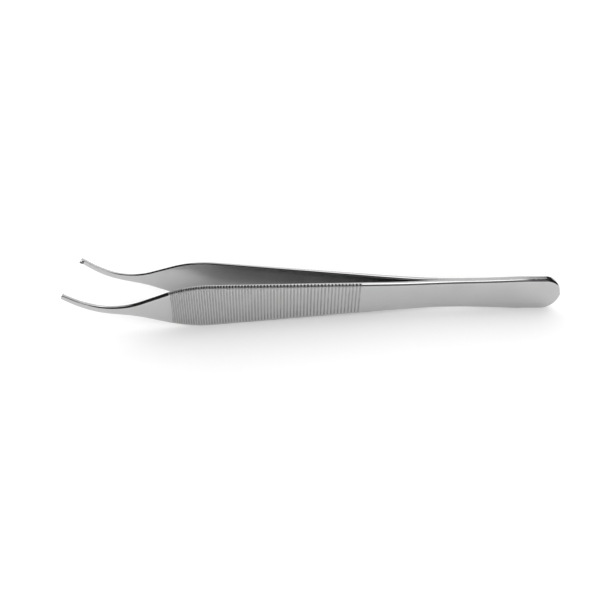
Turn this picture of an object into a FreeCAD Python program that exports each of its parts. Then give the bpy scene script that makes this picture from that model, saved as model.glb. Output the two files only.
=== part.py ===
import FreeCAD, Part
import os
from math import asin, atan2, cos, degrees, hypot, pi, radians, sin, tan

import Sketcher

# Thumb forceps of stamped steel: two springy arms welded face to face at the heel.
# Each arm is drawn in its own frame: its axis runs along X from the tip (x = 0) to the heel,
# the arms meet in the plane y = 0, and Z points the way that the beaks curve.
# All sizes are in millimetres, all angles in degrees.

SIZES = [
    # outline of one arm, seen from the side; corners are where two straight runs would cross
    ("tip_rise", 4.24),
    ("tip_width", 1.0),
    ("beak_angle", 31.1),
    ("hollow_x", 9.77),
    ("hollow_drop", 0.65),
    ("hollow_radius", 17.8),
    ("under_x", 5.68),
    ("under_rise", 0.13),
    ("under_radius", 22.2),
    ("neck_x", 16.25),
    ("neck_drop", 1.65),
    ("neck_radius", 29.7),
    ("belly_x", 28.67),
    ("belly_width", 11.55),
    ("belly_radius", 29.8),
    ("taper_length", 62.66),
    ("waist_width", 6.69),
    ("waist_radius", 380.0),
    ("flare_length", 19.03),
    ("heel_width", 8.4),
    ("heel_radius", 84.7),
    ("heel_length", 10.07),
    # section of one arm, seen from above
    ("tip_gap", 15.67),
    ("tip_thickness", 0.82),
    ("joined_length", 32.98),
    ("inner_bend_radius", 162.0),
    ("heel_thickness", 1.18),
    ("outer_flat_length", 28.82),
    ("outer_bend_radius", 144.0),
    ("edge_bevel", 0.35),
    ("bevel_share", 0.4),
    # cross grooves of the thumb grip
    ("groove_start", 24.53),
    ("groove_count", 63),
    ("groove_width", 0.42),
    ("groove_depth", 0.24),
    ("first_pitch", 0.51),
    ("last_pitch", 0.86),
    # interlocking teeth at the tips: a slender single one, and a broad pair that it fits between;
    # each leans forward past the tip by its reach
    ("single_height", 1.1),
    ("single_reach", 0.05),
    ("single_crest", 0.14),
    ("single_length", 0.55),
    ("single_width", 0.24),
    ("pair_height", 0.65),
    ("pair_reach", 0.15),
    ("pair_crest", 0.65),
    ("pair_length", 0.95),
    ("pair_width", 0.34),
    ("pair_spacing", 0.62),
    ("tooth_root", 0.3),
    # how much thicker the blank is than the arm, and how far the cutting profiles reach past it
    ("blank_allowance", 1.5),
    ("trim_margin", 3.0),
]

# side of the meeting plane that an arm lies on
LEFT = -1
RIGHT = 1

# how a constraint names the sketch's origin point and its two axes
ORIGIN = (-1, 1)
X_AXIS = -1
Y_AXIS = -2

# an edge lies on the outer face when sampled points of it are this close to the face
EDGE_SAMPLES = 5
ON_FACE = 0.01

doc = FreeCAD.newDocument("thumb_forceps")
sheet = doc.addObject("Spreadsheet::Sheet", "Sizes")
for row, (alias, value) in enumerate(SIZES, start=1):
    sheet.set("A%d" % row, alias)
    sheet.set("B%d" % row, str(value))
    sheet.setAlias("B%d" % row, alias)
doc.recompute()

size = {alias: float(sheet.get(alias)) for alias, value in SIZES}


def axis_plane(body, role):
    """The body's own origin plane with this role, such as XY_Plane."""
    return [item for item in body.Origin.OriginFeatures if item.Role == role][0]


def new_sketch(body, name, role):
    """A sketch on one of the body's own origin planes."""
    sketch = body.newObject("Sketcher::SketchObject", name)
    sketch.AttachmentSupport = [(axis_plane(body, role), "")]
    sketch.MapMode = "FlatFace"
    return sketch


def vector(point):
    return FreeCAD.Vector(point[0], point[1], 0)


def bind(sketch, constraint, expression):
    """Add a constraint whose value comes from the sheet."""
    index = sketch.addConstraint(constraint)
    sketch.setExpression("Constraints[%d]" % index, expression)
    return index


def place_point(sketch, geometry, position, point, x_size, y_size):
    """Hold a point at (x, y), each given as an expression of its distance from the origin."""
    distances = (("DistanceX", point[0], x_size, Y_AXIS), ("DistanceY", point[1], y_size, X_AXIS))
    for kind, value, expression, axis in distances:
        ends = ORIGIN + (geometry, position)
        if value < 0:
            ends = (geometry, position) + ORIGIN
        if expression == "0":
            sketch.addConstraint(Sketcher.Constraint("PointOnObject", geometry, position, axis))
        else:
            bind(sketch, Sketcher.Constraint(kind, *ends, abs(value)), expression)


def corner_arc(before, corner, after, radius):
    """Round a corner: where the arc starts and ends, its centre, and which way it turns."""
    u = FreeCAD.Vector(corner[0] - before[0], corner[1] - before[1], 0).normalize()
    w = FreeCAD.Vector(after[0] - corner[0], after[1] - corner[1], 0).normalize()
    turn = atan2(u.x * w.y - u.y * w.x, u.dot(w))
    reach = radius * tan(abs(turn) / 2)
    start = vector(corner) - u * reach
    end = vector(corner) + w * reach
    side = 1 if turn > 0 else -1
    centre = start + FreeCAD.Vector(-u.y, u.x, 0) * radius * side
    return start, end, centre, side


def rounded_run(sketch, points, corners):
    """Draw straight runs from the first point to the last, with each corner between them rounded.

    A corner is (x, y, radius, x expression, y expression, radius expression).
    Returns the first and the last straight run.
    """
    path = [points[0]] + [(c[0], c[1]) for c in corners] + [points[1]]
    arcs = [corner_arc(path[i], path[i + 1], path[i + 2], corners[i][2]) for i in range(len(corners))]
    runs = []
    last = vector(points[0])
    for start, end, centre, side in arcs:
        runs.append(sketch.addGeometry(Part.LineSegment(last, start)))
        last = end
    runs.append(sketch.addGeometry(Part.LineSegment(last, vector(points[1]))))
    for i, (start, end, centre, side) in enumerate(arcs):
        x, y, radius, x_size, y_size, radius_size = corners[i]
        circle = Part.Circle(centre, FreeCAD.Vector(0, 0, 1), radius)
        first, second = (start, end) if side > 0 else (end, start)
        ends = (circle.parameter(first), circle.parameter(second))
        arc = sketch.addGeometry(Part.ArcOfCircle(circle, *ends))
        begin, finish = (1, 2) if side > 0 else (2, 1)
        sketch.addConstraint(Sketcher.Constraint("Tangent", runs[i], 2, arc, begin))
        sketch.addConstraint(Sketcher.Constraint("Tangent", arc, finish, runs[i + 1], 1))
        bind(sketch, Sketcher.Constraint("Radius", arc, radius), radius_size)
        mark = sketch.addGeometry(Part.Point(vector((x, y))), True)
        place_point(sketch, mark, 1, (x, y), x_size, y_size)
        sketch.addConstraint(Sketcher.Constraint("PointOnObject", mark, 1, runs[i]))
        sketch.addConstraint(Sketcher.Constraint("PointOnObject", mark, 1, runs[i + 1]))
    return runs[0], runs[-1]


# Stations along the arm, from the tip to the heel.
waist_x = size["belly_x"] + size["taper_length"]
heel_x = waist_x + size["flare_length"]
arm_length = heel_x + size["heel_length"]
WAIST_X = "Sizes.belly_x + Sizes.taper_length"
HEEL_X = WAIST_X + " + Sizes.flare_length"
ARM_LENGTH = HEEL_X + " + Sizes.heel_length"

beak = radians(size["beak_angle"])
tip_bottom = (0.0, size["tip_rise"])
tip_top = (size["tip_width"] * sin(beak), size["tip_rise"] + size["tip_width"] * cos(beak))


def handle_corners(side):
    """Belly, waist and heel corners of the upper (side 1) or lower (side -1) edge."""
    stations = (
        (size["belly_x"], size["belly_width"], size["belly_radius"], "Sizes.belly_x", "belly"),
        (waist_x, size["waist_width"], size["waist_radius"], WAIST_X, "waist"),
        (heel_x, size["heel_width"], size["heel_radius"], HEEL_X, "heel"),
    )
    return [(x, side * width / 2, radius, x_size, "Sizes.%s_width / 2" % name, "Sizes.%s_radius" % name)
            for x, width, radius, x_size, name in stations]


def draw_outline(body):
    """The arm's closed outline: beak, shoulder, belly, taper, waist, flare and round heel."""
    sketch = new_sketch(body, body.Name + "_outline", "XZ_Plane")
    half_heel = size["heel_width"] / 2
    end_x = arm_length - half_heel
    upper = [(size["hollow_x"], -size["hollow_drop"], size["hollow_radius"],
              "Sizes.hollow_x", "Sizes.hollow_drop", "Sizes.hollow_radius")]
    lower = [(size["under_x"], size["under_rise"], size["under_radius"],
              "Sizes.under_x", "Sizes.under_rise", "Sizes.under_radius"),
             (size["neck_x"], -size["neck_drop"], size["neck_radius"],
              "Sizes.neck_x", "Sizes.neck_drop", "Sizes.neck_radius")]
    top_first, top_last = rounded_run(sketch, (tip_top, (end_x, half_heel)), upper + handle_corners(1))
    low_first, low_last = rounded_run(sketch, (tip_bottom, (end_x, -half_heel)), lower + handle_corners(-1))

    end = Part.Circle(vector((end_x, 0)), FreeCAD.Vector(0, 0, 1), half_heel)
    heel = sketch.addGeometry(Part.ArcOfCircle(end, -pi / 2, pi / 2))
    sketch.addConstraint(Sketcher.Constraint("Horizontal", top_last))
    sketch.addConstraint(Sketcher.Constraint("PointOnObject", heel, 3, X_AXIS))
    sketch.addConstraint(Sketcher.Constraint("Tangent", top_last, 2, heel, 2))
    sketch.addConstraint(Sketcher.Constraint("Tangent", low_last, 2, heel, 1))
    bind(sketch, Sketcher.Constraint("DistanceX", *ORIGIN, heel, 3, end_x),
         ARM_LENGTH + " - Sizes.heel_width / 2")

    tip = sketch.addGeometry(Part.LineSegment(vector(tip_bottom), vector(tip_top)))
    sketch.addConstraint(Sketcher.Constraint("Coincident", tip, 1, low_first, 1))
    sketch.addConstraint(Sketcher.Constraint("Coincident", tip, 2, top_first, 1))
    place_point(sketch, tip, 1, tip_bottom, "0", "Sizes.tip_rise")
    bind(sketch, Sketcher.Constraint("Distance", tip, size["tip_width"]), "Sizes.tip_width")
    bind(sketch, Sketcher.Constraint("Angle", X_AXIS, tip, pi / 2 - beak), "90 - Sizes.beak_angle")
    return sketch


def draw_face(body, name, side, tip_y, corner, radius, heel_y_far):
    """A cutting profile seen from above, whose edge is the arm's inner or outer face.

    tip_y, corner x, corner y and radius are (value, expression) pairs; heel_y_far closes the
    profile on the far side of the face.
    """
    sketch = new_sketch(body, name, "XY_Plane")
    margin = size["trim_margin"]
    slope = (corner[1][0] - tip_y[0]) / corner[0][0]
    start = (-margin, side * (tip_y[0] - slope * margin))
    finish = (arm_length + margin, side * corner[1][0])
    bend = (corner[0][0], side * corner[1][0], radius[0], corner[0][1], corner[1][1], radius[1])
    first, last = rounded_run(sketch, (start, finish), [bend])
    mark = sketch.addGeometry(Part.Point(vector((0, side * tip_y[0]))), True)
    place_point(sketch, mark, 1, (0, side * tip_y[0]), "0", tip_y[1])
    sketch.addConstraint(Sketcher.Constraint("PointOnObject", mark, 1, first))
    sketch.addConstraint(Sketcher.Constraint("Horizontal", last))

    far = side * heel_y_far[0]
    box = [finish, (finish[0], far), (start[0], far), start]
    sides = [sketch.addGeometry(Part.LineSegment(vector(box[i]), vector(box[i + 1]))) for i in range(3)]
    sketch.addConstraint(Sketcher.Constraint("Coincident", last, 2, sides[0], 1))
    sketch.addConstraint(Sketcher.Constraint("Coincident", sides[0], 2, sides[1], 1))
    sketch.addConstraint(Sketcher.Constraint("Coincident", sides[1], 2, sides[2], 1))
    sketch.addConstraint(Sketcher.Constraint("Coincident", sides[2], 2, first, 1))
    sketch.addConstraint(Sketcher.Constraint("Vertical", sides[0]))
    sketch.addConstraint(Sketcher.Constraint("Horizontal", sides[1]))
    sketch.addConstraint(Sketcher.Constraint("Vertical", sides[2]))
    place_point(sketch, sides[1], 2, (-margin, far), "Sizes.trim_margin", heel_y_far[1])
    bind(sketch, Sketcher.Constraint("DistanceX", *ORIGIN, sides[0], 1, finish[0]),
         ARM_LENGTH + " + Sizes.trim_margin")
    return sketch


def cut_through(body, name, sketch):
    """Cut a profile drawn on the XY plane through the arm, both ways."""
    before = body.Tip.Shape.Volume
    pocket = body.newObject("PartDesign::Pocket", name)
    pocket.Profile = sketch
    pocket.Type = "ThroughAll"
    pocket.Midplane = True
    doc.recompute()
    if pocket.Shape.Volume >= before:
        raise RuntimeError(name + " cuts nothing")
    return pocket


INNER_CORNER = ARM_LENGTH + " - Sizes.joined_length"
OUTER_CORNER = ARM_LENGTH + " - Sizes.outer_flat_length"
inner_corner_x = arm_length - size["joined_length"]
outer_corner_x = arm_length - size["outer_flat_length"]
inner_tip_y = size["tip_gap"] / 2
outer_tip_y = inner_tip_y + size["tip_thickness"]
outer_slope = (outer_tip_y - size["heel_thickness"]) / outer_corner_x
OUTER_TIP_Y = "Sizes.tip_gap / 2 + Sizes.tip_thickness"
OUTER_SLOPE = "(%s - Sizes.heel_thickness) / (%s)" % (OUTER_TIP_Y, OUTER_CORNER)


def outer_face_y(x):
    """How far the outer face is from the meeting plane: a slope, a bend and the flat heel."""
    bend_reach = size["outer_bend_radius"] * tan(atan2(outer_slope, 1) / 2)
    bend_end = outer_corner_x + bend_reach
    if x > bend_end:
        return size["heel_thickness"]
    if x > outer_corner_x - bend_reach:
        radius = size["outer_bend_radius"]
        return size["heel_thickness"] + radius - (radius ** 2 - (x - bend_end) ** 2) ** 0.5
    return outer_tip_y - outer_slope * x


def outer_edges(body):
    """The long edges between the arm's outer face and its rim, both sides and round the heel."""
    names = []
    for index, edge in enumerate(body.Tip.Shape.Edges, start=1):
        points = edge.discretize(EDGE_SAMPLES)
        on_face = all(abs(abs(point.y) - outer_face_y(point.x)) < ON_FACE for point in points)
        across_tip = max(point.x for point in points) < size["tip_width"]
        if on_face and not across_tip:
            names.append("Edge%d" % index)
    return names


def bevel_edges(body):
    """Break the outer edges, by no more than the slender tip leaves room for."""
    base = body.Tip
    edges = outer_edges(body)
    bevel = body.newObject("PartDesign::Chamfer", body.Name + "_bevel")
    bevel.Base = (base, edges)
    bevel.setExpression("Size", "min(Sizes.edge_bevel; Sizes.bevel_share * Sizes.tip_width;"
                                " Sizes.bevel_share * Sizes.tip_thickness)")
    doc.recompute()
    if bevel.Shape.Volume >= base.Shape.Volume:
        raise RuntimeError(bevel.Name + " cuts nothing")


def cut_grooves(body, side):
    """Cross grooves over the grip: one V groove and its copies along the outer face."""
    sketch = new_sketch(body, body.Name + "_groove_profile", "XY_Plane")
    start = FreeCAD.Vector(size["groove_start"], side * outer_face_y(size["groove_start"]), 0)
    turn = FreeCAD.Rotation(FreeCAD.Vector(0, 0, 1), -side * degrees(atan2(outer_slope, 1)))
    sketch.AttachmentOffset = FreeCAD.Placement(start, turn)
    sketch.setExpression(".AttachmentOffset.Base.x", "Sizes.groove_start")
    sketch.setExpression(".AttachmentOffset.Base.y",
                         "%d * (%s - %s * Sizes.groove_start)" % (side, OUTER_TIP_Y, OUTER_SLOPE))
    sketch.setExpression(".AttachmentOffset.Rotation.Angle", "%d * atan(%s)" % (-side, OUTER_SLOPE))

    # the V is drawn twice as wide and deep as the groove, so that it stands out of the face
    half = size["groove_width"]
    depth = size["groove_depth"]
    corners = [(-half, side * depth), (half, side * depth), (0, -side * depth)]
    edges = [sketch.addGeometry(Part.LineSegment(vector(corners[i]), vector(corners[(i + 1) % 3])))
             for i in range(3)]
    for i in range(3):
        sketch.addConstraint(Sketcher.Constraint("Coincident", edges[i], 2, edges[(i + 1) % 3], 1))
    place_point(sketch, edges[0], 1, corners[0], "Sizes.groove_width", "Sizes.groove_depth")
    place_point(sketch, edges[1], 1, corners[1], "Sizes.groove_width", "Sizes.groove_depth")
    place_point(sketch, edges[2], 1, corners[2], "0", "Sizes.groove_depth")
    pocket = cut_through(body, body.Name + "_groove", sketch)

    # the pitch grows quickly behind the beak and evens out towards the waist
    gaps = int(size["groove_count"]) - 1
    growth = size["last_pitch"] - size["first_pitch"]
    pitches = [size["first_pitch"] + growth * sin(pi / 2 * i / gaps) for i in range(gaps)]
    before = body.Tip.Shape.Volume
    grooves = body.newObject("PartDesign::LinearPattern", body.Name + "_grooves")
    grooves.Originals = [pocket]
    grooves.Direction = (sketch, ["H_Axis"])
    grooves.Mode = "Spacing"
    grooves.Offset = size["first_pitch"]
    grooves.setExpression("Occurrences", "Sizes.groove_count")
    grooves.Spacings = pitches
    body.Tip = grooves
    doc.recompute()
    if grooves.Shape.Volume >= before:
        raise RuntimeError(grooves.Name + " cuts nothing")


def draw_tooth(body, name, side, kind, place):
    """A tooth's profile beside the beak's end face, from its root in the arm to its crest.

    The sketch is tipped in line with the beak, and its x runs towards the heel. kind names the
    tooth's sizes, and place counts pair spacings across the beak from its middle.
    """
    sketch = new_sketch(body, name, "XY_Plane")
    rise = size["tip_width"] / 2 + place * size["pair_spacing"]
    base = FreeCAD.Vector(rise * sin(beak), 0, size["tip_rise"] + rise * cos(beak))
    turn = FreeCAD.Rotation(FreeCAD.Vector(0, 1, 0), size["beak_angle"])
    sketch.AttachmentOffset = FreeCAD.Placement(base, turn)
    rise_size = "(Sizes.tip_width / 2 + %s * Sizes.pair_spacing)" % place
    sketch.setExpression(".AttachmentOffset.Base.x", rise_size + " * sin(Sizes.beak_angle)")
    sketch.setExpression(".AttachmentOffset.Base.z",
                         "Sizes.tip_rise + " + rise_size + " * cos(Sizes.beak_angle)")
    sketch.setExpression(".AttachmentOffset.Rotation.Angle", "Sizes.beak_angle")

    root_y = side * (inner_tip_y + size["tooth_root"])
    crest_y = side * (inner_tip_y - size[kind + "_height"])
    reach = size[kind + "_reach"]
    crest_end = size[kind + "_crest"] - reach
    root_size = "Sizes.tip_gap / 2 + Sizes.tooth_root"
    crest_size = "Sizes.tip_gap / 2 - Sizes.%s_height" % kind
    reach_size = "Sizes.%s_reach" % kind
    corners = [
        ((0.0, root_y), "0", root_size),
        ((-reach, crest_y), reach_size, crest_size),
        ((crest_end, crest_y), "Sizes.%s_crest - %s" % (kind, reach_size), crest_size),
        ((size[kind + "_length"], root_y), "Sizes.%s_length" % kind, root_size),
    ]
    points = [vector(point) for point, x_size, y_size in corners]
    edges = [sketch.addGeometry(Part.LineSegment(points[i], points[(i + 1) % 4])) for i in range(4)]
    for i in range(4):
        sketch.addConstraint(Sketcher.Constraint("Coincident", edges[i], 2, edges[(i + 1) % 4], 1))
        place_point(sketch, edges[i], 1, *corners[i])
    return sketch


def add_teeth(body, side, kind, places):
    """Teeth on the inner face at the tip, one at each of these places across the beak."""
    for number, place in enumerate(places, start=1):
        name = "%s_tooth_%d" % (body.Name, number)
        profile = draw_tooth(body, name + "_profile", side, kind, place)
        before = body.Tip.Shape.Volume
        tooth = body.newObject("PartDesign::Pad", name)
        tooth.Profile = profile
        tooth.Midplane = True
        tooth.setExpression("Length", "Sizes.%s_width" % kind)
        doc.recompute()
        if tooth.Shape.Volume <= before:
            raise RuntimeError(name + " adds nothing")


def make_arm(label, side, tooth_kind, tooth_places):
    """One arm: a blank of its outline, cut to its inner and outer faces, bevelled, toothed and grooved."""
    body = doc.addObject("PartDesign::Body", label)
    body.Label = label
    outline = draw_outline(body)
    blank = body.newObject("PartDesign::Pad", label + "_blank")
    blank.Profile = outline
    blank.setExpression("Length", OUTER_TIP_Y + " + Sizes.blank_allowance")
    blank.Reversed = side == RIGHT
    doc.recompute()

    inner = draw_face(body, label + "_inner_profile", side, (inner_tip_y, "Sizes.tip_gap / 2"),
                      ((inner_corner_x, INNER_CORNER), (0.0, "0")),
                      (size["inner_bend_radius"], "Sizes.inner_bend_radius"),
                      (-size["trim_margin"], "Sizes.trim_margin"))
    cut_through(body, label + "_inner_face", inner)
    outer = draw_face(body, label + "_outer_profile", side, (outer_tip_y, OUTER_TIP_Y),
                      ((outer_corner_x, OUTER_CORNER), (size["heel_thickness"], "Sizes.heel_thickness")),
                      (size["outer_bend_radius"], "Sizes.outer_bend_radius"),
                      (outer_tip_y + size["trim_margin"], OUTER_TIP_Y + " + Sizes.trim_margin"))
    cut_through(body, label + "_outer_face", outer)
    bevel_edges(body)
    add_teeth(body, side, tooth_kind, tooth_places)
    cut_grooves(body, side)
    return body


arms = [
    make_arm("left_arm", LEFT, "single", [0.0]),
    make_arm("right_arm", RIGHT, "pair", [-0.5, 0.5]),
]


def rest_angle():
    """How far the arms tip about Y to lie on their bellies and the heel's round end."""
    corners = handle_corners(-1)
    shoulder = (size["neck_x"], -size["neck_drop"])
    belly = corner_arc(shoulder, corners[0][:2], corners[1][:2], size["belly_radius"])[2]
    half_heel = size["heel_width"] / 2
    run = FreeCAD.Vector(arm_length - half_heel, 0, 0) - belly
    wedge = asin((size["belly_radius"] - half_heel) / hypot(run.x, run.y))
    return degrees(wedge + atan2(run.y, run.x))


def rest_on_floor():
    """Tip both arms to their resting pose, with the origin in the middle of the box's floor."""
    turn = FreeCAD.Rotation(FreeCAD.Vector(0, 1, 0), rest_angle())
    pose = FreeCAD.Placement(FreeCAD.Vector(), turn)
    both = Part.Compound([arm.Shape for arm in arms])
    both.Placement = pose
    box = both.optimalBoundingBox(False)
    pose.Base = FreeCAD.Vector(-(box.XMin + box.XMax) / 2, -(box.YMin + box.YMax) / 2, -box.ZMin)
    for arm in arms:
        arm.Placement = pose
    doc.recompute()


rest_on_floor()

for item in doc.Objects:
    if "Invalid" in item.State or "Error" in item.State:
        raise RuntimeError(item.Name + " failed: " + str(item.State))
for arm in arms:
    if arm.Shape.isNull() or not arm.Shape.isValid():
        raise RuntimeError(arm.Label + " has no valid shape")

os.makedirs("parts", exist_ok=True)
for arm in arms:
    arm.Shape.exportStep("parts/%s.step" % arm.Label)
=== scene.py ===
from math import asin, atan, atan2, cos, hypot, pi, radians, sin, sqrt, tan

import bmesh
import bpy
from mathutils import Matrix, Vector


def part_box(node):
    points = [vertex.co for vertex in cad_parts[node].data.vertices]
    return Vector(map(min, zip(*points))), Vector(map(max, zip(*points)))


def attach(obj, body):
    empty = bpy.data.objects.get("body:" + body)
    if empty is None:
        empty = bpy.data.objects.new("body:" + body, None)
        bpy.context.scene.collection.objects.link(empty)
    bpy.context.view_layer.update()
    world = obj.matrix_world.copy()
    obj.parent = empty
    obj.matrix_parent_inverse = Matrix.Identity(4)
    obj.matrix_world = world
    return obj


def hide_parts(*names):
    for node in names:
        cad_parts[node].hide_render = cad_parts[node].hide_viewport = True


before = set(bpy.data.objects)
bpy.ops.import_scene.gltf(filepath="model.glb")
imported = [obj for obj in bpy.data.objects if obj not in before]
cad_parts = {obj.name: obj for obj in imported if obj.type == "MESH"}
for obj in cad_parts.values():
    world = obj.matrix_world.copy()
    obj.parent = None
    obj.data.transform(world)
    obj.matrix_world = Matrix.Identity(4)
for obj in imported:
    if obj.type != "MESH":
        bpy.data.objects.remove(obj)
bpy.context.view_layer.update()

# Thumb forceps of satin steel. Each arm is built in its own frame in millimetres, as in the
# model: its axis runs along X from the tip (0) to the heel, the arms meet in the plane y = 0,
# and Z is the way that the beaks curve.
MM = 0.001

# Outline of one arm, seen from the side. A corner of the beak is (x, z, radius) and one of the
# handle is (x, full width, radius).
TIP_RISE = 4.24
TIP_WIDTH = 1.0
BEAK_ANGLE = radians(31.1)
HOLLOW = (9.77, -0.65, 17.8)
UNDER = (5.68, 0.13, 22.2)
NECK = (16.25, -1.65, 29.7)
TAPER_LENGTH = 62.66
FLARE_LENGTH = 19.03
HEEL_LENGTH = 10.07
BELLY = (28.67, 11.55, 29.8)
WAIST = (BELLY[0] + TAPER_LENGTH, 6.69, 380.0)
HEEL = (WAIST[0] + FLARE_LENGTH, 8.4, 84.7)
ARM_LENGTH = HEEL[0] + HEEL_LENGTH
HALF_HEEL = HEEL[1] / 2
END_X = ARM_LENGTH - HALF_HEEL

# section of one arm, seen from above
TIP_GAP = 15.67
TIP_THICKNESS = 0.82
HEEL_THICKNESS = 1.18
JOINED_LENGTH = 32.98
INNER_CORNER_X = ARM_LENGTH - JOINED_LENGTH
INNER_BEND = 162.0
OUTER_FLAT_LENGTH = 28.82
OUTER_CORNER_X = ARM_LENGTH - OUTER_FLAT_LENGTH
OUTER_BEND = 144.0

# Rounding of the edges. The two edges of the upper rim share its thickness, and the outer one
# goes further down the face at the grip than behind it. The slender beak has less of it, and the
# seam between the joined arms hardly any. A run is a stretch of X over which a value changes.
OUTER_SHARE = 0.6
INNER_SHARE = 0.36
SEAM_SHARE = 0.05
SEAM_RUN = (80.0, 90.0)
SHOULDER_DOWN = (1.0, 0.62)
SHOULDER_RUN = (38.0, 78.0)
SLENDER_SHARE = 0.3
SLENDER_RUN = (5.0, 9.5)
FACE_SHARE = 0.3
UNDER_ROUND = 0.26
TIP_ROUND = 0.14

# Cross grooves of the thumb grip. They run out over the rounded edges, where the surface leans
# between these two angles.
GROOVE_START = 24.53
GROOVE_COUNT = 63
GROOVE_WIDTH = 0.46
GROOVE_DEPTH = 0.22
GROOVE_FULLNESS = 0.8
FIRST_PITCH = 0.51
LAST_PITCH = 0.86
GROOVE_FADE = (radians(56.0), radians(84.0))

# Teeth on the tips: one on the left arm, and on the right a pair that it fits between. Each has
# its height, where its root and its crest start and end along the beak, and their widths.
SINGLE = (0.85, (0.0, 0.6), (0.1, 0.26), (0.4, 0.12))
PAIR = (0.65, (0.0, 0.95), (-0.15, 0.7), (0.46, 0.12))
PAIR_OFFSET = 0.26
TOOTH_EMBED = 0.1
TOOTH_BEVEL = 0.03

# roughness of the faces, of the rounded rims, and of the ridges between the grooves' ends
SATIN = 0.23
POLISHED = 0.13
RIDGE = 0.5

# Steel: its tone varies in soft clouds, and a fine grain along X varies its roughness by these
# shares and raises it a little. Scales are per metre.
TONE = (0.465, 0.525)
CLOUD_SCALE = 160.0
CLOUD_DETAIL = 4.0
GRAIN_SCALE = (220.0, 9000.0, 9000.0)
GRAIN_DETAIL = 3.0
GRAIN_SPREAD = (0.75, 1.25)
GRAIN_BUMP = 0.04
GRAIN_HEIGHT = 0.02 * MM

# mesh density
BEAK_END = 16.0
BEAK_STEPS = 90
PLAIN_STEP = 0.4
GROOVE_STEPS = 12
HEEL_STEPS = 48
FACE_STEPS = 8
SHOULDER_STEPS = 12
INNER_STEPS = 5
TIP_STEPS = 4
TOOTH_BEVEL_STEPS = 2
ROUND_PROFILE = 0.5
MERGE_DISTANCE = 1e-5
SHORTEST_EDGE = 1e-6
SHARP_ANGLE = radians(50.0)

# Stage, in metres. The floor glows a little, and more with distance, until it is as white as the
# world. The fill light is a share for the sides or the ends times one for its height.
WHITE = (1.0, 1.0, 1.0, 1.0)
FLOOR_HALF = 40.0
FLOOR_COLOUR = (0.97, 0.97, 0.97, 1.0)
FLOOR_ROUGHNESS = 0.9
FLOOR_GLOW = 0.07
GLOW_NEAR = 0.4
GLOW_FAR = 6.0
SIDE_FILL = 0.4
END_FILL = 2.4
HORIZON_FILL = 1.6
ZENITH_FILL = 0.2
SOFTBOX_PLACE = (1.8, 1.1, 4.5)
SOFTBOX_SIZE = (2.9, 4.2)
SOFTBOX_RADIANCE = 1.42

# Cards that only reflections see, to draw the edges of the metal. A span runs along X, and the
# foot and head of a card are (y, z). The front card is black up to the split and grey beyond it.
CARD_BLACK = (0.01, 0.01, 0.01, 1.0)
GREY_GLOW = 0.2
CEILING_HALF = 12.0
CEILING_FOOT = (-12.0, 5.0)
CEILING_HEAD = (-1.2, 5.0)
FRONT_HALF = 0.9
FRONT_SPLIT = 0.1
FRONT_FOOT = (-0.6, 0.0)
FRONT_HEAD = (-0.35, 0.75)
BACK_Y = 0.42
BACK_TOP = 0.8
BACK_LEFT_SPAN = (-0.45, -0.23)
BACK_LEFT_BOTTOM = 0.03
BACK_RIGHT_SPAN = (0.3, 0.45)
SIDE_X = 0.45
SIDE_TOP = 0.9

# camera: azimuth and elevation of its view, its distance from the point that it looks at, its
# lens and sensor in millimetres, and its shift as a share of the sensor
AZIMUTH = radians(1.838)
ELEVATION = radians(34.33)
DISTANCE = 0.145089
TARGET = Vector((-0.005897, 0.0, 0.002887))
LENS = 34.768
SENSOR = 36.0
SHIFT_X = 0.006277
SHIFT_Y = 0.000833
CLIP_START = 0.005
CLIP_END = 200.0


class Path:
    """Straight runs in the XZ plane from start to finish, with each corner rounded by an arc."""

    def __init__(self, start, corners, finish):
        """Corners are (x, z, radius). Each piece keeps its low and high x, both ends, and for an
        arc its centre, its radius and the side that it turns to."""
        self.pieces = []
        points = [start] + [corner[:2] for corner in corners] + [finish]
        last = Vector(start)
        for i, (x, z, radius) in enumerate(corners):
            corner = Vector((x, z))
            before = (corner - Vector(points[i])).normalized()
            after = (Vector(points[i + 2]) - corner).normalized()
            turn = atan2(before.x * after.y - before.y * after.x, before.dot(after))
            reach = radius * tan(abs(turn) / 2)
            begin = corner - before * reach
            end = corner + after * reach
            side = 1 if turn > 0 else -1
            centre = begin + Vector((-before.y, before.x)) * radius * side
            self.pieces.append((last.x, begin.x, last, begin, None, 0, 0))
            self.pieces.append((begin.x, end.x, begin, end, centre, radius, side))
            last = end
        self.pieces.append((last.x, finish[0], last, Vector(finish), None, 0, 0))

    def at(self, x):
        """The path's point at x and its direction there."""
        for low, high, begin, end, centre, radius, side in self.pieces:
            if x <= high or high == self.pieces[-1][1]:
                if centre is None:
                    direction = (end - begin).normalized()
                    return begin + (end - begin) * ((x - low) / (high - low)), direction
                across = x - centre.x
                down = sqrt(radius ** 2 - across ** 2)
                point = Vector((x, centre.y - side * down))
                return point, Vector((down, side * across)).normalized()


def handle_corners(side):
    """The handle's corners on its upper (1) or lower (-1) edge."""
    return [(x, side * width / 2, radius) for x, width, radius in (BELLY, WAIST, HEEL)]


TIP_BOTTOM = (0.0, TIP_RISE)
TIP_TOP = (TIP_WIDTH * sin(BEAK_ANGLE), TIP_RISE + TIP_WIDTH * cos(BEAK_ANGLE))
upper_edge = Path(TIP_TOP, [HOLLOW] + handle_corners(1), (END_X, HALF_HEEL))
lower_edge = Path(TIP_BOTTOM, [UNDER, NECK] + handle_corners(-1), (END_X, -HALF_HEEL))
LOWER_BELLY_PIECE = 5


def bent_face(x, tip_y, corner_x, heel_y, bend):
    """Distance of a face from the meeting plane: a slope from the tip, a bend, a flat heel."""
    slope = (tip_y - heel_y) / corner_x
    reach = bend * tan(atan(slope) / 2)
    if x > corner_x + reach:
        return heel_y
    if x > corner_x - reach:
        return heel_y + bend - sqrt(bend ** 2 - (x - corner_x - reach) ** 2)
    return tip_y - slope * x


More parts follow.
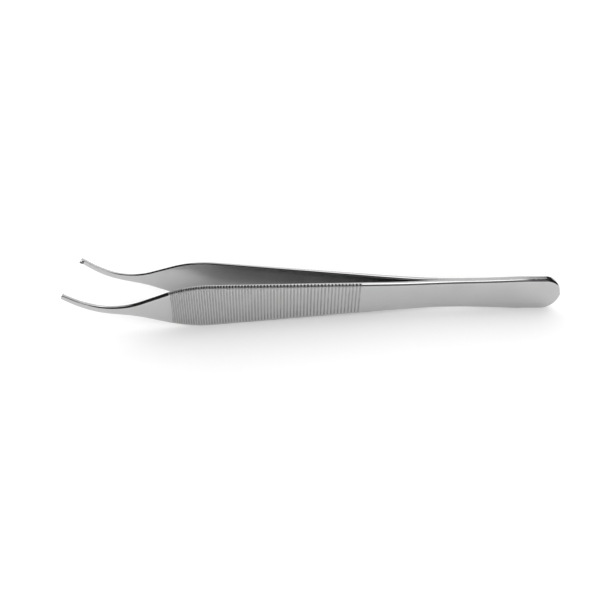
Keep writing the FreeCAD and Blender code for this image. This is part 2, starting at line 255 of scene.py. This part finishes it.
def inner_y(x):
    """Distance of the inner face from the meeting plane."""
    return bent_face(x, TIP_GAP / 2, INNER_CORNER_X, 0.0, INNER_BEND)


def outer_y(x):
    """Distance of the outer face from the meeting plane."""
    outer_tip = TIP_GAP / 2 + TIP_THICKNESS
    return bent_face(x, outer_tip, OUTER_CORNER_X, HEEL_THICKNESS, OUTER_BEND)


def groove_places():
    """Where the grooves lie along X; their pitch grows from the beak to the waist."""
    outer_slope = (TIP_GAP / 2 + TIP_THICKNESS - HEEL_THICKNESS) / OUTER_CORNER_X
    places = [GROOVE_START]
    gaps = GROOVE_COUNT - 1
    for i in range(gaps):
        pitch = FIRST_PITCH + (LAST_PITCH - FIRST_PITCH) * sin(pi / 2 * i / gaps)
        places.append(places[-1] + pitch * cos(atan(outer_slope)))
    return places


grooves = groove_places()


def groove_depth(x):
    """Depth of the nearest groove at x: a V with a rounded bottom and soft lips."""
    nearest = min(grooves, key=lambda place: abs(place - x))
    share = abs(x - nearest) / (GROOVE_WIDTH / 2)
    if share >= 1:
        return 0.0
    return GROOVE_DEPTH * (0.5 + 0.5 * cos(pi * share)) ** GROOVE_FULLNESS


def ridge_share(x):
    """How much of a ridge between grooves there is at x: 0 in a groove or off the grip."""
    if not grooves[0] - GROOVE_WIDTH / 2 < x < grooves[-1] + GROOVE_WIDTH / 2:
        return 0.0
    return 1 - groove_depth(x) / GROOVE_DEPTH


def stations():
    """Where the sections up to the heel lie, as pairs of (upper x, lower x)."""
    places = []
    for i in range(BEAK_STEPS):
        share = i / BEAK_STEPS
        places.append((TIP_TOP[0] + (BEAK_END - TIP_TOP[0]) * share, BEAK_END * share))
    x = BEAK_END
    while x < grooves[0] - GROOVE_WIDTH / 2:
        places.append((x, x))
        x += PLAIN_STEP
    for i, groove in enumerate(grooves):
        low = groove - GROOVE_WIDTH / 2
        if i:
            low = (groove + grooves[i - 1]) / 2
        high = groove + GROOVE_WIDTH / 2
        if i + 1 < len(grooves):
            high = (groove + grooves[i + 1]) / 2
        for k in range(GROOVE_STEPS):
            x = low + (high - low) * k / GROOVE_STEPS
            places.append((x, x))
    x = high
    while x < END_X - PLAIN_STEP / 2:
        places.append((x, x))
        x += PLAIN_STEP
    return places


def edge_frame(path, x):
    """The edge's point at x and the normal that points into the arm."""
    point, direction = path.at(x)
    side = 1 if path is upper_edge else -1
    inward = Vector((direction.y, -direction.x)) * side
    return point, inward


def section_frames():
    """For each section the upper and lower edge points with their inward normals."""
    frames = [edge_frame(upper_edge, a) + edge_frame(lower_edge, b) for a, b in stations()]
    centre = Vector((END_X, 0.0))
    for i in range(HEEL_STEPS + 1):
        angle = pi / 2 * (1 - i / HEEL_STEPS)
        up = Vector((cos(angle), sin(angle)))
        down = Vector((cos(angle), -sin(angle)))
        frames.append((centre + up * HALF_HEEL, -up, centre + down * HALF_HEEL, -down))
    return frames


def blend(x, run, first, last):
    """A value that goes smoothly from first to last as x goes through the run."""
    share = max(0.0, min(1.0, (x - run[0]) / (run[1] - run[0])))
    return first + (last - first) * share * share * (3 - 2 * share)


def shoulder_size(x, width, thickness):
    """How far the upper outer edge is rounded in along the rim and down the face."""
    slender = blend(x, SLENDER_RUN, SLENDER_SHARE, 1.0)
    down = blend(x, SHOULDER_RUN, *SHOULDER_DOWN) * slender
    return OUTER_SHARE * thickness * slender, min(down, FACE_SHARE * width)


def inner_round(x):
    """Rounding of the inner edges: less at the slender tip, hardly any where the arms join."""
    share = blend(x, SEAM_RUN, INNER_SHARE, SEAM_SHARE)
    slender = blend(x, SLENDER_RUN, SLENDER_SHARE, 1.0)
    return share * slender * (outer_y(x) - inner_y(x))


def ring(upper, up_in, lower, low_in, shrink):
    """One closed section as (x, y, z, roughness) points, smaller all round by the shrink."""
    upper = upper + up_in * shrink
    lower = lower + low_in * shrink
    width = (upper - lower).length
    top = shoulder_size(upper.x, width, outer_y(upper.x) - inner_y(upper.x))
    under = (UNDER_ROUND, min(UNDER_ROUND, FACE_SHARE * width))
    points = []

    def add(point, y, roughness):
        points.append((point.x, y, point.y, roughness))

    def outer_points(edge, inward, size, steps):
        for k in steps:
            angle = pi / 2 * k / SHOULDER_STEPS
            point = edge + inward * size[1] * (1 - sin(angle))
            y = outer_y(point.x) - shrink - size[0] * (1 - cos(angle))
            lean = atan2(size[0] * sin(angle), size[1] * cos(angle))
            fade = blend(lean, GROOVE_FADE, 1.0, 0.0)
            cut = groove_depth(point.x) * fade
            roughness = POLISHED + (RIDGE - POLISHED) * ridge_share(point.x) * fade
            point = point + inward * cut * sin(lean)
            add(point, y - cut * cos(lean), roughness if k else SATIN)

    def inner_points(edge, inward, steps):
        radius = inner_round(edge.x)
        for k in steps:
            angle = pi / 2 * k / INNER_STEPS
            point = edge + inward * radius * (1 - sin(angle))
            y = inner_y(point.x) + shrink + radius * (1 - cos(angle))
            add(point, y, POLISHED if k else SATIN)

    low_face = lower + low_in * under[1]
    high_face = upper + up_in * top[1]
    for k in range(1, FACE_STEPS):
        point = low_face.lerp(high_face, k / FACE_STEPS)
        add(point, outer_y(point.x) - shrink - groove_depth(point.x), SATIN)
    outer_points(upper, up_in, top, range(SHOULDER_STEPS + 1))
    inner_points(upper, up_in, range(INNER_STEPS, -1, -1))
    low_back = lower + low_in * inner_round(lower.x)
    high_back = upper + up_in * inner_round(upper.x)
    for k in range(1, FACE_STEPS):
        point = high_back.lerp(low_back, k / FACE_STEPS)
        add(point, inner_y(point.x) + shrink, SATIN)
    inner_points(lower, low_in, range(INNER_STEPS + 1))
    outer_points(lower, low_in, under, range(SHOULDER_STEPS, -1, -1))
    return points


def tip_rings(first):
    """Rings that round the edge of the tip's flat end, from the end face outwards."""
    upper, up_in, lower, low_in = first
    along = Vector((cos(BEAK_ANGLE), -sin(BEAK_ANGLE)))
    rings = []
    for k in range(TIP_STEPS):
        angle = pi / 2 * k / TIP_STEPS
        pull = along * TIP_ROUND * (1 - cos(angle))
        shrink = TIP_ROUND * (1 - sin(angle))
        rings.append(ring(upper + pull, up_in, lower + pull, low_in, shrink))
    return rings


def add_tooth(mesh, layer, sizes, offset):
    """A tapering tooth on the inner face at the tip, offset across the beak from its middle."""
    height, root_run, crest_run, (root_width, crest_width) = sizes
    across = Vector((sin(BEAK_ANGLE), cos(BEAK_ANGLE)))
    along = Vector((cos(BEAK_ANGLE), -sin(BEAK_ANGLE)))
    middle = Vector(TIP_BOTTOM) + across * (TIP_WIDTH / 2 + offset)
    root = (root_run, root_width / 2, TIP_GAP / 2 + TOOTH_EMBED)
    crest = (crest_run, crest_width / 2, TIP_GAP / 2 - height)
    loops = []
    for (start, end), half, y in (root, crest):
        corners = [(start, -half), (end, -half), (end, half), (start, half)]
        flat = [middle + along * a + across * b for a, b in corners]
        loops.append([mesh.verts.new((point.x, y, point.y)) for point in flat])
    faces = [mesh.faces.new(loops[0]), mesh.faces.new(loops[1][::-1])]
    for i in range(4):
        j = (i + 1) % 4
        faces.append(mesh.faces.new((loops[0][j], loops[0][i], loops[1][i], loops[1][j])))
    for vertex in loops[0] + loops[1]:
        vertex[layer] = POLISHED
    edges = list({edge for face in faces for edge in face.edges})
    bmesh.ops.bevel(mesh, geom=edges, offset=TOOTH_BEVEL, segments=TOOTH_BEVEL_STEPS,
                    profile=ROUND_PROFILE, affect="EDGES")


def loft(mesh, layer, rings):
    """Faces from ring to ring, closed at the tip; the heel closes as its last ring is flat."""
    rows = []
    for points in rings:
        row = []
        for x, y, z, roughness in points:
            vertex = mesh.verts.new((x, y, z))
            vertex[layer] = roughness
            row.append(vertex)
        rows.append(row)
    count = len(rows[0])
    for low, high in zip(rows, rows[1:]):
        for i in range(count):
            j = (i + 1) % count
            mesh.faces.new((low[i], low[j], high[j], high[i]))
    mesh.faces.new(rows[0][::-1])
    bmesh.ops.remove_doubles(mesh, verts=mesh.verts[:], dist=MERGE_DISTANCE)
    bmesh.ops.dissolve_degenerate(mesh, edges=mesh.edges[:], dist=SHORTEST_EDGE)


def rest_angle():
    """How far the arms tip about Y to lie on their bellies and the heel's round end."""
    belly_centre = lower_edge.pieces[LOWER_BELLY_PIECE][4]
    run = Vector((END_X, 0.0)) - belly_centre
    return asin((BELLY[2] - HALF_HEEL) / hypot(run.x, run.y)) + atan2(run.y, run.x)


def link_object(name, data):
    """A new object in the scene."""
    item = bpy.data.objects.new(name, data)
    bpy.context.scene.collection.objects.link(item)
    return item


def build_arm(name, node, side, tooth, offsets, material):
    """One arm with its teeth, laid where the frame's node is. It is built on the +Y side; a side
    of -1 mirrors it."""
    mesh = bmesh.new()
    layer = mesh.verts.layers.float.new("roughness")
    frames = section_frames()
    loft(mesh, layer, tip_rings(frames[0]) + [ring(*f, 0.0) for f in frames[1:]])
    for offset in offsets:
        add_tooth(mesh, layer, tooth, offset)

    lay = Matrix.Rotation(rest_angle(), 4, "Y") @ Matrix.Diagonal((1, side, 1, 1))
    bmesh.ops.transform(mesh, matrix=Matrix.Scale(MM, 4) @ lay, verts=mesh.verts[:])
    low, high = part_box(node)
    end_x = max(vertex.co.x for vertex in mesh.verts)
    bottom = min(vertex.co.z for vertex in mesh.verts)
    shift = Vector((high.x - end_x, 0, low.z - bottom))
    bmesh.ops.translate(mesh, vec=shift, verts=mesh.verts[:])
    bmesh.ops.recalc_face_normals(mesh, faces=mesh.faces[:])
    for face in mesh.faces:
        face.smooth = True

    data = bpy.data.meshes.new(name)
    mesh.to_mesh(data)
    mesh.free()
    data.set_sharp_from_angle(angle=SHARP_ANGLE)
    arm = link_object(name, data)
    data.materials.append(material)
    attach(arm, "root")
    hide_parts(node)


def feed(tree, socket, source):
    """Give a node's socket a value, or link it to another node's output."""
    if isinstance(source, bpy.types.NodeSocket):
        tree.links.new(source, socket)
    else:
        socket.default_value = source


def add_node(tree, kind, inputs, **settings):
    """A new node with its settings and its inputs, by name or number."""
    node = tree.nodes.new(kind)
    for key, value in settings.items():
        setattr(node, key, value)
    for key, source in inputs.items():
        feed(tree, node.inputs[key], source)
    return node


def new_material(name):
    """A new material with its node tree and its shader."""
    material = bpy.data.materials.new(name)
    material.use_nodes = True
    return material, material.node_tree, material.node_tree.nodes["Principled BSDF"]


def satin_steel():
    """Satin stainless steel: fine grain along the arms on the faces, polished on the rims."""
    material, tree, shader = new_material("satin_steel")
    place = add_node(tree, "ShaderNodeTexCoord", {}).outputs["Object"]
    stretched = add_node(tree, "ShaderNodeMapping", {"Vector": place, "Scale": GRAIN_SCALE})
    grain = add_node(tree, "ShaderNodeTexNoise", {
        "Vector": stretched.outputs["Vector"], "Scale": 1.0, "Detail": GRAIN_DETAIL}).outputs["Fac"]
    cloud = add_node(tree, "ShaderNodeTexNoise", {
        "Vector": place, "Scale": CLOUD_SCALE, "Detail": CLOUD_DETAIL}).outputs["Fac"]
    tone = add_node(tree, "ShaderNodeMapRange", {
        "Value": cloud, "To Min": TONE[0], "To Max": TONE[1]})
    spread = add_node(tree, "ShaderNodeMapRange", {
        "Value": grain, "To Min": GRAIN_SPREAD[0], "To Max": GRAIN_SPREAD[1]})
    base = add_node(tree, "ShaderNodeAttribute", {}, attribute_name="roughness")
    finish = add_node(tree, "ShaderNodeMath", {
        0: base.outputs["Fac"], 1: spread.outputs["Result"]}, operation="MULTIPLY")
    bump = add_node(tree, "ShaderNodeBump", {
        "Strength": GRAIN_BUMP, "Distance": GRAIN_HEIGHT, "Height": grain})
    feed(tree, shader.inputs["Metallic"], 1.0)
    feed(tree, shader.inputs["Base Color"], tone.outputs["Result"])
    feed(tree, shader.inputs["Roughness"], finish.outputs[0])
    feed(tree, shader.inputs["Normal"], bump.outputs["Normal"])
    return material


def seen_rays(tree):
    """1 for camera, glossy and transmission rays, else 0."""
    path = add_node(tree, "ShaderNodeLightPath", {})
    total = path.outputs["Is Camera Ray"]
    for name in ("Is Glossy Ray", "Is Transmission Ray"):
        join = add_node(tree, "ShaderNodeMath", {0: total, 1: path.outputs[name]},
                        operation="MAXIMUM")
        total = join.outputs[0]
    return total


def build_floor():
    """A wide pale floor that keeps the shadow; a little glow takes it to white."""
    data = bpy.data.meshes.new("floor")
    mesh = bmesh.new()
    bmesh.ops.create_grid(mesh, x_segments=1, y_segments=1, size=FLOOR_HALF)
    mesh.to_mesh(data)
    mesh.free()
    floor = link_object("floor", data)
    material, tree, shader = new_material("floor_paper")
    place = add_node(tree, "ShaderNodeTexCoord", {}).outputs["Object"]
    reach = add_node(tree, "ShaderNodeVectorMath", {0: place}, operation="LENGTH")
    rise = add_node(tree, "ShaderNodeMapRange", {
        "Value": reach.outputs["Value"], "From Min": GLOW_NEAR, "From Max": GLOW_FAR,
        "To Min": FLOOR_GLOW, "To Max": 1.0}, interpolation_type="SMOOTHSTEP")
    glow = add_node(tree, "ShaderNodeMath", {0: seen_rays(tree), 1: rise.outputs["Result"]},
                    operation="MULTIPLY")
    feed(tree, shader.inputs["Base Color"], FLOOR_COLOUR)
    feed(tree, shader.inputs["Roughness"], FLOOR_ROUGHNESS)
    feed(tree, shader.inputs["Specular IOR Level"], 0.0)
    feed(tree, shader.inputs["Emission Color"], WHITE)
    feed(tree, shader.inputs["Emission Strength"], glow.outputs[0])
    data.materials.append(material)


def build_world():
    """Fill light, mostly from the front and behind and near the horizon. Camera, glossy and
    transmission rays see white."""
    world = bpy.data.worlds.new("studio")
    bpy.context.scene.world = world
    world.use_nodes = True
    tree = world.node_tree
    background = tree.nodes["Background"]
    place = add_node(tree, "ShaderNodeTexCoord", {}).outputs["Generated"]
    direction = add_node(tree, "ShaderNodeSeparateXYZ", {"Vector": place})
    depth = add_node(tree, "ShaderNodeMath", {0: direction.outputs["Y"]}, operation="ABSOLUTE")
    fill = add_node(tree, "ShaderNodeMapRange", {
        "Value": depth.outputs[0], "To Min": SIDE_FILL, "To Max": END_FILL})
    height = add_node(tree, "ShaderNodeMapRange", {
        "Value": direction.outputs["Z"], "To Min": HORIZON_FILL, "To Max": ZENITH_FILL})
    dome = add_node(tree, "ShaderNodeMath", {
        0: fill.outputs["Result"], 1: height.outputs["Result"]}, operation="MULTIPLY")
    level = add_node(tree, "ShaderNodeMix", {
        "Factor": seen_rays(tree), "A": dome.outputs[0], "B": 1.0}, data_type="FLOAT")
    feed(tree, background.inputs["Color"], WHITE)
    feed(tree, background.inputs["Strength"], level.outputs["Result"])


def area_light(name, centre, size, radiance):
    """A rectangular soft light of even radiance that faces the object."""
    data = bpy.data.lights.new(name, "AREA")
    data.shape = "RECTANGLE"
    data.size, data.size_y = size
    data.energy = radiance * size[0] * size[1] * pi
    light = link_object(name, data)
    light.location = centre
    light.rotation_euler = (-Vector(centre)).to_track_quat("-Z", "Y").to_euler()
    light.visible_camera = False


def card_material(name, glow):
    """Matt black, with a glow that makes it grey."""
    material, tree, shader = new_material(name)
    feed(tree, shader.inputs["Base Color"], CARD_BLACK)
    feed(tree, shader.inputs["Specular IOR Level"], 0.0)
    feed(tree, shader.inputs["Emission Color"], WHITE)
    feed(tree, shader.inputs["Emission Strength"], glow)
    return material


def add_card(name, material, corners):
    """A card that only reflections see, as photographers use to draw the edges of metal."""
    data = bpy.data.meshes.new(name)
    data.from_pydata(corners, [], [range(4)])
    card = link_object(name, data)
    for kind in ("camera", "diffuse", "shadow", "transmission"):
        setattr(card, "visible_" + kind, False)
    data.materials.append(material)


def across(low_x, high_x, foot, head):
    """Corners of a card that spans X, from its foot (y, z) to its head (y, z)."""
    return [(low_x, *foot), (high_x, *foot), (high_x, *head), (low_x, *head)]


def build_cards():
    """Cards overhead, in front, at both sides and behind."""
    black = card_material("card_black", 0.0)
    grey = card_material("card_grey", GREY_GLOW)
    back_head = (BACK_Y, BACK_TOP)
    ceiling = across(-CEILING_HALF, CEILING_HALF, CEILING_FOOT, CEILING_HEAD)
    add_card("ceiling", black, ceiling)
    add_card("front_card", black, across(-FRONT_HALF, FRONT_SPLIT, FRONT_FOOT, FRONT_HEAD))
    add_card("front_grey_card", grey, across(FRONT_SPLIT, FRONT_HALF, FRONT_FOOT, FRONT_HEAD))
    for name, x in (("left_card", -SIDE_X), ("right_card", SIDE_X)):
        front, back = FRONT_FOOT[0], BACK_Y
        add_card(name, black, [(x, front, 0), (x, back, 0), (x, back, SIDE_TOP),
                               (x, front, SIDE_TOP)])
    back_left_foot = (BACK_Y, BACK_LEFT_BOTTOM)
    add_card("back_left_card", black, across(*BACK_LEFT_SPAN, back_left_foot, back_head))
    add_card("back_right_card", black, across(*BACK_RIGHT_SPAN, (BACK_Y, 0.0), back_head))


def build_camera():
    """The photograph's camera."""
    level = cos(ELEVATION)
    forward = Vector((sin(AZIMUTH) * level, cos(AZIMUTH) * level, -sin(ELEVATION)))
    data = bpy.data.cameras.new("camera")
    data.lens = LENS
    data.sensor_width = SENSOR
    data.shift_x = SHIFT_X
    data.shift_y = SHIFT_Y
    data.clip_start = CLIP_START
    data.clip_end = CLIP_END
    camera = link_object("camera", data)
    camera.location = TARGET - forward * DISTANCE
    camera.rotation_euler = forward.to_track_quat("-Z", "Y").to_euler()
    bpy.context.scene.camera = camera


steel = satin_steel()
build_arm("left_arm_steel", "left_arm", -1, SINGLE, [0.0], steel)
build_arm("right_arm_steel", "right_arm", 1, PAIR, [-PAIR_OFFSET, PAIR_OFFSET], steel)
build_floor()
build_world()
area_light("overhead_softbox", SOFTBOX_PLACE, SOFTBOX_SIZE, SOFTBOX_RADIANCE)
build_cards()
build_camera()
bpy.context.scene.view_settings.view_transform = "Standard"
